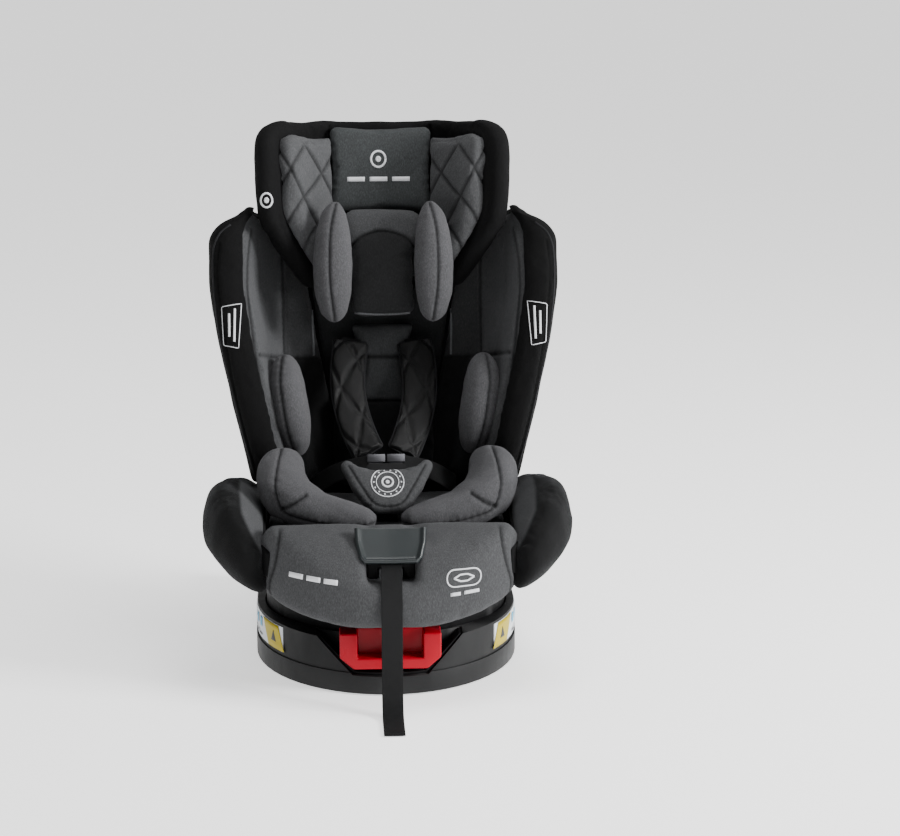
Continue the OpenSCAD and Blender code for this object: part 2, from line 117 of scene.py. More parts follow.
def make_camera():
    az, el = (math.radians(a) for a in CAMERA_FROM)
    away = Vector((math.sin(az) * math.cos(el), -math.cos(az) * math.cos(el), math.sin(el)))
    cam = add_object("camera", bpy.data.cameras.new("camera"))
    aim = Vector((AIM[0] * math.cos(az), AIM[0] * math.sin(az), AIM[2]))
    cam.location = aim + away * CAMERA_REACH
    cam.rotation_euler = (-away).to_track_quat("-Z", "Y").to_euler()
    cam.data.lens = IMAGE_FOCAL
    cam.data.clip_end = 100
    bpy.context.scene.camera = cam


make_camera()


# ---------------------------------------------------------------- curve and mesh helpers
def smooth_line(points, n):
    """Catmull-Rom through rows of numbers, resampled to n rows evenly in the parameter."""
    p = np.asarray(points, float)
    last = len(p) - 1
    t = np.linspace(0, last, n)
    i = np.minimum(t.astype(int), last - 1)
    f = (t - i)[:, None]
    a, b, c, d = p[np.maximum(i - 1, 0)], p[i], p[i + 1], p[np.minimum(i + 2, last)]
    return 0.5 * (2 * b + (c - a) * f + (2 * a - 5 * b + 4 * c - d) * f**2 + (3 * b - a - 3 * c + d) * f**3)


def even_line(points, n):
    """A polyline resampled to n points evenly along its length."""
    p = np.asarray(points, float)
    s = np.r_[0, np.cumsum(np.linalg.norm(np.diff(p, axis=0), axis=1))]
    at = np.linspace(0, s[-1], n)
    return np.stack([np.interp(at, s, p[:, k]) for k in range(p.shape[1])], 1)


def new_mesh(name, verts, faces):
    me = bpy.data.meshes.new(name)
    me.from_pydata([tuple(v) for v in verts], [], [tuple(f) for f in faces])
    bm = bmesh.new()
    bm.from_mesh(me)
    bmesh.ops.recalc_face_normals(bm, faces=bm.faces)
    return from_bmesh(name, bm, me)


def loft(name, rings):
    """A closed solid through rings of equal length, each an n x 3 array in metres."""
    r = np.asarray(rings, float)
    m, n = r.shape[:2]
    k, i = np.meshgrid(np.arange(m - 1), np.arange(n), indexing="ij")
    j = (i + 1) % n
    quads = np.stack([k * n + i, k * n + j, (k + 1) * n + j, (k + 1) * n + i], -1).reshape(-1, 4)
    verts = np.concatenate([r.reshape(-1, 3), r[0].mean(0)[None], r[-1].mean(0)[None]])
    lo, hi = m * n, m * n + 1
    caps = [(lo, (a + 1) % n, a) for a in range(n)]
    caps += [(hi, (m - 1) * n + a, (m - 1) * n + (a + 1) % n) for a in range(n)]
    return new_mesh(name, verts, [*quads.tolist(), *caps])


def slab(name, front, back):
    """A closed solid between two grids of points (rows x columns x 3)."""
    m, n = front.shape[:2]
    verts = np.concatenate([front.reshape(-1, 3), back.reshape(-1, 3)])
    off = m * n
    faces = []
    for k in range(m - 1):
        for i in range(n - 1):
            a, b, c, d = k * n + i, k * n + i + 1, (k + 1) * n + i + 1, (k + 1) * n + i
            faces += [(a, b, c, d), (off + d, off + c, off + b, off + a)]
    rim = [i for i in range(n)] + [k * n + n - 1 for k in range(1, m)]
    rim += [(m - 1) * n + i for i in range(n - 2, -1, -1)] + [k * n for k in range(m - 2, 0, -1)]
    for a, b in zip(rim, rim[1:] + rim[:1]):
        faces.append((a, off + a, off + b, b))
    return new_mesh(name, verts, faces)


def tube(name, path, radius, sides=10):
    """A round cord along a path of points in metres, such as piping or a thread."""
    p = np.asarray(path, float)
    d = np.gradient(p, axis=0)
    d /= np.maximum(np.linalg.norm(d, axis=1, keepdims=True), 1e-12)
    side = np.cross(d[0], [0.31, 0.77, 0.55])
    rings = []
    for q, t in zip(p, d):
        side = side - t * (side @ t)
        side /= np.linalg.norm(side)
        other = np.cross(t, side)
        a = np.linspace(0, 2 * np.pi, sides, endpoint=False)[:, None]
        rings.append(q + radius * (np.cos(a) * side + np.sin(a) * other))
    return loft(name, rings)


def ribbon(name, path, across, width, thick, sides=28):
    """Flat webbing along a path in metres; across is its width direction at each point."""
    p, w = np.asarray(path, float), np.asarray(across, float)
    if w.ndim == 1:
        w = np.repeat(w[None], len(p), 0)
    d = np.gradient(p, axis=0)
    d /= np.linalg.norm(d, axis=1, keepdims=True)
    w = w - d * np.sum(w * d, 1, keepdims=True)
    w /= np.linalg.norm(w, axis=1, keepdims=True)
    up = np.cross(w, d)
    a = np.linspace(0, 2 * np.pi, sides, endpoint=False)
    x = np.sign(np.cos(a)) * np.abs(np.cos(a)) ** 0.35
    y = np.sign(np.sin(a)) * np.abs(np.sin(a)) ** 0.6
    wide, high = (x * width / 2)[:, None], (y * thick / 2)[:, None]
    return loft(name, [p[k] + w[k] * wide + up[k] * high for k in range(len(p))])


def vertices(obj, kind="co"):
    out = np.empty(len(obj.data.vertices) * 3)
    obj.data.vertices.foreach_get(kind, out)
    return out.reshape(-1, 3)


def normals(obj):
    return vertices(obj, "normal")


def set_vertices(obj, co):
    obj.data.vertices.foreach_set("co", co.ravel())
    obj.data.update()


def layer(obj, name):
    """A number kept at each vertex, for the material to read."""
    return obj.data.attributes.get(name) or obj.data.attributes.new(name, "FLOAT", "POINT")


def add_seam_shade(obj, amount):
    """Keep how deep each vertex lies in a seam, for the material to darken as painted shade in the crease.
    """
    a = layer(obj, "seam")
    old = np.zeros(len(obj.data.vertices))
    a.data.foreach_get("value", old)
    a.data.foreach_set("value", np.maximum(old, amount))


def line_distance(q, line):
    """Distance in a plane from each point q to a polyline, and how far along it that is."""
    best, along, s = np.full(len(q), 1e9), np.zeros(len(q)), 0.0
    for a, b in zip(line[:-1], line[1:]):
        ab = b - a
        size = np.linalg.norm(ab)
        t = np.clip((q - a) @ ab / max(size**2, 1e-12), 0, 1)
        d = np.linalg.norm(q - a - t[:, None] * ab, axis=1)
        near = d < best
        best[near], along[near] = d[near], s + t[near] * size
        s += size
    return best, along


def groove(obj, lines, width=2.2, depth=2.0, place=BACK, pucker=0.5, facing=0.05, smooth=24):
    """Sew seams into a mesh. Lines are drawn in the (x, z) plane of a frame, seen from its front."""
    co, no = vertices(obj), normals(obj)
    q = place.inverse(co)[:, [0, 2]]
    front = np.clip((-place.normal(no)[:, 1] - facing) * 4, 0, 1)
    move, seam = np.zeros(len(co)), np.zeros(len(co))
    for line in lines:
        d, s = line_distance(q, smooth_line(line, smooth) if len(line) > 2 else np.asarray(line, float))
        g = np.exp(-((d / width) ** 2)) * front
        wide = np.exp(-((d / (width * 3.2)) ** 2)) * front
        move = np.maximum(move, g * depth + wide * pucker * (0.5 + 0.5 * np.sin(s * 0.75)))
        seam = np.maximum(seam, g)
    set_vertices(obj, co - no * (move * MM)[:, None])
    # the seam mask, read by the material as painted shade in the groove
    add_seam_shade(obj, seam)


def merge(name, objs):
    """Several meshes as one piece."""
    bm = bmesh.new()
    for o in objs:
        bm.from_mesh(o.data)
        bpy.data.objects.remove(o)
    return from_bmesh(name, bm)


def mirrored(obj, name):
    """A copy of a piece on the other side of the seat's middle plane."""
    me = obj.data.copy()
    me.vertices.foreach_set("co", (vertices(obj) * [-1, 1, 1]).ravel())
    me.flip_normals()
    return add_object(name, me)


def soften(obj):
    mod = obj.modifiers.new("subdivision", "SUBSURF")
    mod.levels = mod.render_levels = 1
    return obj


def round_edges(obj, width=1.0, segments=3):
    mod = obj.modifiers.new("edges", "BEVEL")
    mod.width, mod.segments, mod.limit_method = width * MM, segments, "ANGLE"
    mod.harden_normals = True
    return obj


def piece(obj, material, body, nodes=()):
    """Give a piece its material and body, and hide the CAD nodes it stands for."""
    obj.data.materials.clear()
    obj.data.materials.append(material)
    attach(obj, body)
    if nodes:
        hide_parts(*nodes)
    return obj


# ---------------------------------------------------------------- materials
class Nodes:
    """A short way to build a node tree."""

    def __init__(self, name):
        self.mat = bpy.data.materials.new(name)
        self.mat.use_nodes = True
        self.tree = self.mat.node_tree
        self.bsdf = self.tree.nodes["Principled BSDF"]
        self.coords = self.add("ShaderNodeTexCoord").outputs["Object"]

    def add(self, kind, **inputs):
        node = self.tree.nodes.new(kind)
        for key, value in inputs.items():
            self.put(node.inputs[key.replace("_", " ")], value)
        return node

    def put(self, socket, value):
        if isinstance(value, bpy.types.NodeSocket):
            self.tree.links.new(value, socket)
        else:
            socket.default_value = value

    def surface(self, **inputs):
        """Set the inputs of the shader and give the material back."""
        for key, value in inputs.items():
            self.put(self.bsdf.inputs[key.replace("_", " ")], value)
        return self.mat

    def math(self, op, a, b=0.0, clamp=False):
        node = self.tree.nodes.new("ShaderNodeMath")
        node.operation, node.use_clamp = op, clamp
        self.put(node.inputs[0], a)
        self.put(node.inputs[1], b)
        return node.outputs[0]

    def times(self, a, share):
        return self.math("MULTIPLY", a, share)

    def sum(self, a, share, b):
        """A share of a, plus b."""
        return self.math("ADD", self.times(a, share), b)

    def noise(self, scale, detail=3.0, rough=0.5, vector=None):
        node = self.add("ShaderNodeTexNoise", Scale=scale, Detail=detail, Roughness=rough)
        self.put(node.inputs["Vector"], vector or self.coords)
        return node.outputs["Fac"]

    def stretch(self, scale, turn=(0, 0, 0)):
        node = self.add("ShaderNodeMapping", Vector=self.coords, Scale=scale, Rotation=turn)
        return node.outputs["Vector"]

    def wave(self, scale, direction, vector=None):
        node = self.add("ShaderNodeTexWave", Scale=scale)
        node.bands_direction = direction
        self.put(node.inputs["Vector"], vector or self.coords)
        return node.outputs["Fac"]

    def ramp(self, fac, stops):
        node = self.add("ShaderNodeValToRGB", Fac=fac)
        ramp = node.color_ramp
        while len(ramp.elements) < len(stops):
            ramp.elements.new(0.5)
        for element, (at, colour) in zip(ramp.elements, stops):
            element.position, element.color = at, colour
        return node.outputs["Color"]

    def mix(self, fac, a, b):
        node = self.tree.nodes.new("ShaderNodeMix")
        node.data_type = "RGBA"
        self.put(node.inputs[0], fac)
        self.put(node.inputs[6], a)
        self.put(node.inputs[7], b)
        return node.outputs[2]

    def attribute(self, name):
        node = self.add("ShaderNodeAttribute")
        node.attribute_name = name
        return node.outputs["Fac"]

    def bump(self, height, strength, distance=0.001, normal=None):
        node = self.add("ShaderNodeBump", Height=height, Strength=strength, Distance=distance)
        if normal:
            self.put(node.inputs["Normal"], normal)
        return node.outputs["Normal"]

    def edges(self):
        """How sharp and worn an edge is, from 0 to 1."""
        point = self.add("ShaderNodeNewGeometry").outputs["Pointiness"]
        return self.math("MULTIPLY", self.math("SUBTRACT", point, 0.53), 9.0, clamp=True)


def rgb(value, k=1.0):
    return tuple(min(1.0, c * k) for c in value) + (1.0,)


def knit(name, colour, heather=0.26, weave=1150.0, sheen=0.1, rough=0.88, relief=0.5, mesh=0.0, gloss=0.12):
    """Polyester knit: fine heather yarn, a small weave, sheen, painted shade darkening the seams, and slight
    wear.
    """
    n = Nodes(name)
    yarn = n.noise(900, 2.0, 0.6, n.stretch((1.0, 1.0, 0.35), (0.0, 0.0, 0.6)))
    fleck = n.noise(2600, 1.0, 0.5)
    patch = n.noise(9, 3.0, 0.5)
    tone = n.sum(yarn, 0.75, n.times(fleck, 0.25))
    light, dark = rgb(colour, 1 + 1.6 * heather), rgb(colour, 1 - heather)
    base = n.ramp(tone, [(0.36, dark), (0.52, rgb(colour)), (0.66, light)])
    base = n.mix(n.times(patch, 0.25), base, rgb(colour, 1.35))
    base = n.mix(n.attribute("tone"), base, rgb(colour, 0.07))
    # painted shade: darker colour along the seam mask, for the shade in a sewn crease
    base = n.mix(n.times(n.attribute("seam"), 0.82), base, rgb(colour, 0.12))
    base = n.mix(n.times(n.edges(), 0.25), base, rgb(colour, 2.2))
    diagonal = n.stretch((1.0, 1.0, 1.0), (0.5, 0.35, 0.785))
    cloth = n.times(n.wave(weave, "X", diagonal), n.wave(weave, "Z", diagonal))
    fine = n.bump(n.sum(cloth, 0.6 + mesh, n.times(yarn, 0.5)), relief, 0.0006)
    return n.surface(Base_Color=base, Roughness=n.sum(fleck, 0.12, rough - 0.06), Sheen_Weight=sheen,
                     Sheen_Roughness=0.45, Sheen_Tint=rgb(colour, 8.0), Specular_IOR_Level=gloss,
                     Normal=n.bump(n.noise(55), 0.22, 0.004, fine))


def webbing(name, colour):
    """Woven strap: ribs along its length, a fine cross weave, a soft gloss."""
    n = Nodes(name)
    rib = n.wave(620, "X")
    cross = n.wave(1500, "DIAGONAL")
    fuzz = n.noise(1800, 2.0)
    base = n.ramp(rib, [(0.15, rgb(colour, 0.45)), (0.6, rgb(colour)), (0.95, rgb(colour, 1.7))])
    base = n.mix(n.times(fuzz, 0.35), base, rgb(colour, 2.2))
    height = n.sum(rib, 0.8, n.times(cross, 0.4))
    return n.surface(Base_Color=base, Roughness=n.sum(fuzz, 0.2, 0.5), Sheen_Weight=0.03,
                     Specular_IOR_Level=0.16, Normal=n.bump(height, 0.6, 0.0005))


def moulded(name, colour, rough=0.55, texture=0.25, coat=0.0, wear=0.35, metallic=0.0, gloss=0.3):
    """Injection moulded plastic: spark-eroded texture, uneven gloss, lighter worn edges."""
    n = Nodes(name)
    spark = n.noise(1500, 2.0, 0.6)
    cloud = n.noise(16, 4.0, 0.55)
    base = n.mix(n.times(cloud, 0.45), rgb(colour, 0.85), rgb(colour, 1.25))
    base = n.mix(n.times(n.edges(), wear), base, rgb([0.3 + 0.5 * c for c in colour], 0.6))
    smear = n.noise(70, 5.0, 0.65, n.stretch((1.0, 1.0, 0.4)))
    return n.surface(Base_Color=base, Roughness=n.sum(smear, 0.22, rough - 0.11), Metallic=metallic,
                     Specular_IOR_Level=gloss, Coat_Weight=coat, Coat_Roughness=0.12,
                     Normal=n.bump(spark, texture, 0.0003))


def metal(name, colour, rough=0.32, brushed="X"):
    """Plated steel with fine brushing and dull patches."""
    n = Nodes(name)
    scale = {"X": (0.06, 1.0, 1.0), "Y": (1.0, 0.06, 1.0), "Z": (1.0, 1.0, 0.06)}[brushed]
    lines = n.noise(900, 4.0, 0.6, n.stretch(scale))
    cloud = n.noise(30, 4.0)
    base = n.mix(cloud, rgb(colour, 0.8), rgb(colour, 1.15))
    return n.surface(Base_Color=base, Metallic=1.0, Roughness=n.sum(lines, 0.25, rough - 0.1),
                     Normal=n.bump(lines, 0.15, 0.0002))


def printed(name, colour):
    """Ink or film: nearly flat, with a little mottling."""
    n = Nodes(name)
    speck = n.noise(700, 3.0)
    base = n.mix(speck, rgb(colour, 0.82), rgb(colour, 1.1))
    return n.surface(Base_Color=base, Roughness=n.sum(speck, 0.2, 0.3), Specular_IOR_Level=0.2,
                     Normal=n.bump(speck, 0.1, 0.0002))


CHARCOAL = knit("charcoal_knit", (0.050, 0.051, 0.053), sheen=0.12)
LIGHT = knit("bolster_knit", (0.058, 0.058, 0.061), sheen=0.14)
DARK = knit("dark_knit", (0.026, 0.027, 0.028))
PANEL = knit("panel_knit", (0.040, 0.043, 0.044))
QUILT = knit("quilt_knit", (0.054, 0.055, 0.057), sheen=0.14)
BLACK = knit("black_knit", (0.0035, 0.0035, 0.0037), heather=0.3, sheen=0.03, relief=0.4)
NET = knit("black_net", (0.0035, 0.0035, 0.0037), heather=0.3, weave=520, sheen=0.03, relief=0.9,
           mesh=0.8)
BLACK_QUILT = knit("black_quilt", (0.0022, 0.0022, 0.0024), heather=0.3, sheen=0.02, rough=0.45,
                   gloss=0.26)
PIPING = knit("piping_knit", (0.085, 0.088, 0.092), relief=0.3)
BLACK_PIPING = knit("black_piping", (0.010, 0.010, 0.011), sheen=0.08, rough=0.6, relief=0.3)
LEATHER = moulded("leatherette", (0.0095, 0.0135, 0.0145), rough=0.38, texture=0.5, wear=0.4, gloss=0.45)
WEBBING = webbing("webbing", (0.0018, 0.0019, 0.0022))
SHELL = moulded("base_plastic", (0.0085, 0.0088, 0.0092), rough=0.5, texture=0.3, wear=0.2, gloss=0.22)
BLACK_PLASTIC = moulded("black_plastic", (0.004, 0.004, 0.0045), rough=0.6, texture=0.3, wear=0.12,
                        gloss=0.14)
RED = moulded("crimson_plastic", (0.36, 0.0004, 0.012), rough=0.3, texture=0.06, wear=0.0, gloss=0.14)
GREY_PLASTIC = moulded("grey_plastic", (0.075, 0.08, 0.085), rough=0.45)
SILVER = moulded("silver_lacquer", (0.46, 0.47, 0.49), rough=0.36, texture=0.08, coat=0.3, metallic=0.55)
GREEN = moulded("green_plastic", (0.02, 0.28, 0.07), rough=0.4, coat=0.2)
WHITE_PLASTIC = moulded("acetal", (0.6, 0.6, 0.58), rough=0.4)
RUBBER = moulded("rubber", (0.012, 0.012, 0.012), rough=0.85, texture=0.6)
STEEL = metal("plated_steel", (0.42, 0.43, 0.45), brushed="Y")
TONGUE = metal("tongue_steel", (0.06, 0.06, 0.065), rough=0.35)
WHITE_INK = printed("white_print", (0.62, 0.63, 0.65))
YELLOW = printed("yellow_film", (0.44, 0.34, 0.0))
PALE = printed("pale_film", (0.66, 0.69, 0.71))
CYAN = printed("cyan_film", (0.03, 0.36, 0.58))
PINK = printed("pink_film", (0.62, 0.06, 0.12))
INK = printed("black_print", (0.02, 0.02, 0.02))


# ---------------------------------------------------------------- soft parts from the CAD solids
def bake(obj):
    """Turn an object's modifiers into its mesh."""
    dg = bpy.context.evaluated_depsgraph_get()
    me = bpy.data.meshes.new_from_object(obj.evaluated_get(dg))
    obj.modifiers.clear()
    obj.data = me
    return obj


def remesh(obj, voxel=4.0, smooth=8):
    """An even skin with its corners rounded off."""
    mod = obj.modifiers.new("remesh", "REMESH")
    mod.mode, mod.voxel_size, mod.use_smooth_shade = "VOXEL", voxel * MM, True
    even = obj.modifiers.new("smooth", "SMOOTH")
    even.factor, even.iterations = 0.5, smooth
    return bake(obj)


def from_node(name, node, smooth=False):
    """A mesh piece with the shape of a CAD node."""
    bm = bmesh.new()
    bm.from_mesh(frame["nodes"][node].data)
    bmesh.ops.remove_doubles(bm, verts=bm.verts, dist=1e-6)
    return from_bmesh(name, bm, smooth=smooth)


def swell(obj, mm):
    set_vertices(obj, vertices(obj) + normals(obj) * mm * MM)
    return obj


def settle(cushions, pressure=4.0, frames=20):
    """Blow the cushions up as cloth, without gravity, and hold each to its own largest movement in mm."""
    scene = bpy.context.scene
    rest = {}
    for obj, _ in cushions:
        rest[obj.name] = vertices(obj)
        mod = obj.modifiers.new("cloth", "CLOTH")
        cloth = mod.settings
        cloth.quality, cloth.mass = 4, 0.15
        cloth.tension_stiffness = cloth.compression_stiffness = 6
        cloth.shear_stiffness, cloth.bending_stiffness = 2, 0.4
        cloth.shrink_min = -0.03
        cloth.use_pressure, cloth.uniform_pressure_force = True, pressure
        cloth.effector_weights.gravity = 0
        mod.point_cache.frame_start, mod.point_cache.frame_end = 1, frames
    for f in range(1, frames + 1):
        scene.frame_set(f)
    for obj, cap in cushions:
        bake(obj)
        move = vertices(obj) - rest[obj.name]
        size = np.linalg.norm(move, axis=1, keepdims=True)
        limit = cap * MM
        set_vertices(obj, rest[obj.name] + move * (limit * np.tanh(size / limit) / np.maximum(size, 1e-9)))
    scene.frame_set(1)


def refine(obj):
    """One subdivision, made before the seams are sewn so that they run smoothly."""
    return bake(soften(obj))


def rumple(obj, amount, scale, seed=0):
    """Low hollows and folds of slack cloth, in mm."""
    co, no = vertices(obj), normals(obj)
    q = co / (scale * MM)
    k = seed * 1.7
    x, y, z = q.T
    wave = np.sin(x * 1.3 + 2.1 * np.sin(z * 0.7 + k)) * np.sin(z * 1.1 + 1.7 * np.sin(y + k))
    wave += 0.5 * np.sin(x * 2.9 - z * 2.3 + k) * np.sin(y * 2.7 + z * 1.9)
    set_vertices(obj, co + no * (wave * amount * MM)[:, None])
    return obj


def tint(obj, share):
    """share(q) from 0 to 1 is how far each vertex takes the darker tone."""
    amount = np.clip(share(vertices(obj)), 0, 1).astype(np.float32)
    layer(obj, "tone").data.foreach_set("value", amount)


def quilt(obj, pitch, rise, depth, puff, width=2.0, bend=3.0, region=lambda q: 1.0):
    """Diamond quilting: sewn diagonals with the wadding risen between them."""
    co, no = vertices(obj), normals(obj)
    q = BACK.inverse(co)
    x = np.abs(q[:, 0]) + bend * np.sin(q[:, 2] / 28)
    front = np.clip((-BACK.normal(no)[:, 1] + 0.15) * 3, 0, 1) * region(q)
    n = math.hypot(1, 1 / rise)
    away = []
    for s in (1, -1):
        t = (x + s * q[:, 2] / rise) / (pitch * n)
        away.append(np.abs(t - np.round(t)) * pitch)
    near = np.minimum(*away)
    g = np.exp(-((near / width) ** 2)) * front
    hill = np.sqrt(np.clip(near / (pitch * 0.5), 0, 1)) * front
    set_vertices(obj, co + no * ((hill * puff - g * depth) * MM)[:, None])
    # the quilting lines take the same painted shade as the seams
    add_seam_shade(obj, g * 0.8)


# ---------------------------------------------------------------- lines laid on a surface
def skin(*objs):
    trees = []
    for o in objs:
        me = o.data
        corners, faces = [v.co.copy() for v in me.vertices], [tuple(p.vertices) for p in me.polygons]
        trees.append(BVHTree.FromPolygons(corners, faces))
    return trees


def lay_on(trees, place, line, lift):
    """Points of the line (x, z in a frame, in mm) moved onto the nearest skin as seen from the front."""
    out = []
    ahead = Vector(place.m @ np.array([0, 1.0, 0]))
    for x, z in line:
        start = Vector(place([x, -600, z]))
        hits = [t.ray_cast(start, ahead) for t in trees]
        hits = [h for h in hits if h[0] is not None]
        if hits:
            hit = min(hits, key=lambda h: h[3])
            out.append(hit[0] - ahead * (lift * MM))
        elif out:
            out.append(out[-1].copy())
    return np.array([tuple(p) for p in out])


def stroke(name, lines, width, place, trees, lift=0.5, step=2.5, closed=False):
    """Printed or embroidered lines: flat strips that follow the skin below them."""
    parts = []
    for k, line in enumerate(lines):
        p = np.asarray(line, float)
        if closed:
            p = np.concatenate([p, p[:1]])
        size = np.sum(np.linalg.norm(np.diff(p, axis=0), axis=1))
        p = even_line(p, max(4, int(size / step)))
        d = np.gradient(p, axis=0)
        if closed:
            d[0] = d[-1] = d[0] + d[-1]
        d /= np.maximum(np.linalg.norm(d, axis=1, keepdims=True), 1e-9)
        side = np.stack([-d[:, 1], d[:, 0]], 1) * width / 2
        rows = [lay_on(trees, place, p + side * f, lift) for f in (-1, 0, 1)]
        if min(len(r) for r in rows) < len(p):
            continue
        top = np.stack(rows, 0)
        parts.append(slab(f"{name}.{k}", top, top + place.m @ np.array([0, 0.0006, 0])))
    return merge(name, parts)


def patch(name, outline, place, trees, lift=0.5, step=4.0):
    """A filled shape laid on the skin: the outline is convex, in (x, z) of the frame."""
    o = np.asarray(outline, float)
    c = o.mean(0)
    rings = max(3, int(np.linalg.norm(o - c, axis=1).max() / step))
    dense = even_line(np.concatenate([o, o[:1]]), max(24, 4 * len(o)))[:-1]
    rows = [lay_on(trees, place, c + (dense - c) * max(f, 0.02), lift) for f in np.linspace(0, 1, rings)]
    top = np.stack(rows, 0)
    top = np.concatenate([top, top[:, :1]], 1)
    return merge(name, [slab(name + ".0", top, top + place.m @ np.array([0, 0.0006, 0]))])


def piping(name, line, place, trees, radius, sink, points=60):
    p = even_line(smooth_line(line, points) if len(line) > 2 else line, points)
    on = lay_on(trees, place, p, -sink)
    on = smooth_line(on[::3], points)
    return tube(name, on, radius * MM)


def ring(cx, cz, rx, rz, n=48):
    t = np.linspace(0, 2 * np.pi, n, endpoint=False)
    return np.stack([cx + rx * np.cos(t), cz + rz * np.sin(t)], 1)


def round_box(cx, cz, hw, hh, r, n=6):
    out = []
    for k, (sx, sz) in enumerate(((1, 1), (-1, 1), (-1, -1), (1, -1))):
        for t in np.linspace(k * np.pi / 2, (k + 1) * np.pi / 2, n):
            out.append([cx + sx * (hw - r) + r * math.cos(t), cz + sz * (hh - r) + r * math.sin(t)])
    return np.array(out)


# ---------------------------------------------------------------- cord: the adjuster's free strap
STRAP_ROUTE = [
    (-209, 180), (-218, 176), (-229, 168), (-239, 154), (-246, 136), (-249, 116), (-250, 95), (-251, 74),
    (-252, 54), (-254, 35), (-258, 19), (-266, 8), (-278, 3), (-292, 2.2), (-306, 2), (-320, 2), (-330, 2),
]


def adjuster_strap():
    route = even_line(smooth_line(STRAP_ROUTE, 160), 90)
    path = np.stack([np.zeros(len(route)), route[:, 0], route[:, 1]], 1) * MM
    across = np.repeat([[1.0, 0.0, 0.0]], len(path), 0)
    across[:, 1] = 0.05 * np.sin(np.linspace(0, 5, len(path)))
    obj = ribbon("adjuster_strap_web", path, across, 0.0246, 0.0017)
    obj.data.materials.append(WEBBING)
    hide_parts("adjuster_strap")
    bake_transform(obj)


adjuster_strap()


# ---------------------------------------------------------------- headrest
# headrest section by section, in mm: height up the back, half width, depth forward
HEAD_H = [250, 268, 290, 312, 338, 400, 430, 446, 454]
HEAD_W = [96, 110, 126, 140, 150, 153, 151, 143, 128]
HEAD_F = [56, 72, 90, 106, 120, 130, 122, 104, 80]


def both(half):
    """A section from its middle to its right end, continued to the left."""
    right = np.asarray(half, float)
    return np.concatenate([right[::-1] * [-1, 1], right[1:]])


def headrest_cover():
    rows, cols = 46, 90
    t = np.linspace(0, 1, rows)
    level = smooth_line(np.stack([HEAD_H, HEAD_W, HEAD_F], 1), 200)
    level = np.stack([np.interp(t * 199, np.arange(200), level[:, k]) for k in range(3)], 1)
    front, back = [], []
    for k, (h, w, f) in enumerate(level):
        lip = [w - 14, -f - 1]
        inner = both([[0, -19], [max(w - 87, 8), -20], [w - 48, -0.42 * f - 8], [w - 27, -f + 16],
                      [w - 21, -f + 3], lip])
        outer = both([[0, -6], [w - 66, -6], [w - 24, -0.3 * f - 8], [w - 3, -0.75 * f],
                      [w + 1, -f + 12], [w - 6, -f + 1], lip])
        a = even_line(smooth_line(inner, 200), cols)
        b = even_line(smooth_line(outer, 200), cols)
        close = math.sqrt(max(0.0, 1 - (1 - min(1, min(k, rows - 1 - k) / 3.0)) ** 2))
        mid, half = (a + b) / 2, (b - a) / 2 * close
        out = np.abs(mid[:, 0])
        crown = t[k] ** 6 * (11 * np.exp(-((out / 105) ** 4)) - 9 * np.clip((out - 100) / 45, 0, 1) ** 2)
        front.append(BACK(np.column_stack([mid - half, h + crown])))
        back.append(BACK(np.column_stack([mid + half, h + crown])))
    obj = slab("headrest_shell_soft", np.array(front), np.array(back))
    return remesh(obj, 3.6, 5)


# the pieces that are blown up as cloth, with the largest movement of each in mm
raw = {}


def cushion(node, voxel=4.0, smooth=8, grow=2.5, cap=4.0):
    """A node as an even skin, grown by some mm."""
    obj = swell(remesh(from_node(f"{node}_soft", node), voxel, smooth), grow)
    raw[obj.name] = (obj, cap)
    return obj


headrest_shell = headrest_cover()
raw["headrest_shell_soft"] = (headrest_shell, 2.5)
headrest_pad = from_node("headrest_pad_soft", "headrest_pad")
local = BACK.inverse(vertices(headrest_pad))
local[:, 0] *= 1.17
local[:, 2] = np.interp(local[:, 2], [350, 440], [345, 453])
set_vertices(headrest_pad, BACK(local))
remesh(headrest_pad, 3, 4)
raw["headrest_pad_soft"] = (headrest_pad, 4)
head_wing = cushion("headrest_wing_right", voxel=3.2)
head_pillow = cushion("head_pillow", voxel=3.2, smooth=6, grow=1.5)
almonds = cushion("pillow_cushions", voxel=3.2, grow=3.0)
back_pad = cushion("back_pad", smooth=4, grow=1.0, cap=3)
back_wing = cushion("back_wing_right", smooth=10, grow=1.5, cap=3)
wing_pad = cushion("wing_pad_right")
insert_pad = cushion("insert_back_pad", voxel=3.2, smooth=5, grow=1.5)
torso = cushion("torso_bolster_right", voxel=3.2, smooth=6, grow=5.0)
hip = cushion("hip_bolster_right", voxel=3.2, smooth=6)
crotch = cushion("crotch_pad", voxel=2.4, smooth=6, cap=2.5)
seat_cushion = cushion("seat_cushion", voxel=4.5, grow=1.5, cap=3.5)
seat_wing = cushion("seat_wing_right", smooth=18)


def reshape(obj, place, change):
    """Move the vertices of a raw cushion in a frame, in mm."""
    set_vertices(obj, place(change(place.inverse(vertices(obj)))))


def wing_top(q):
    q[:, 2] = np.where(q[:, 2] > 425, 425 + (q[:, 2] - 425) * 0.45, q[:, 2])
    q[:, 0] = np.where(q[:, 2] > 350, np.maximum(q[:, 0], 62.5), q[:, 0])
    return q


def wider_band(q):
    q[:, 0] *= 1 + 0.28 * np.clip((q[:, 2] - 285) / 30, 0, 1)
    return q


def longer_bolster(q):
    q[:, 0] += 7
    q[:, 2] = 164 - (164 - q[:, 2]) * 1.12
    return q


def lower_lobe(q):
    low = np.clip((242 - q[:, 2]) / 25, 0, 1)
    q[:, 2] -= 6 * low * low * (3 - 2 * low)
    return q


def rounded_shoulder(q, radius=34.0, start=301.5):
    """Round the outer top corner of a back wing."""
    rise = np.clip(q[:, 2] - start, 0, radius - 0.5)
    q[:, 0] -= (radius - np.sqrt(radius**2 - rise**2)) * np.clip((q[:, 0] - 150) / 45, 0, 1)
    return q


def fuller_front(q):
    q[:, 0] *= 1 + 0.075 * np.clip((-120 - q[:, 1]) / 50, 0, 1)
    return q


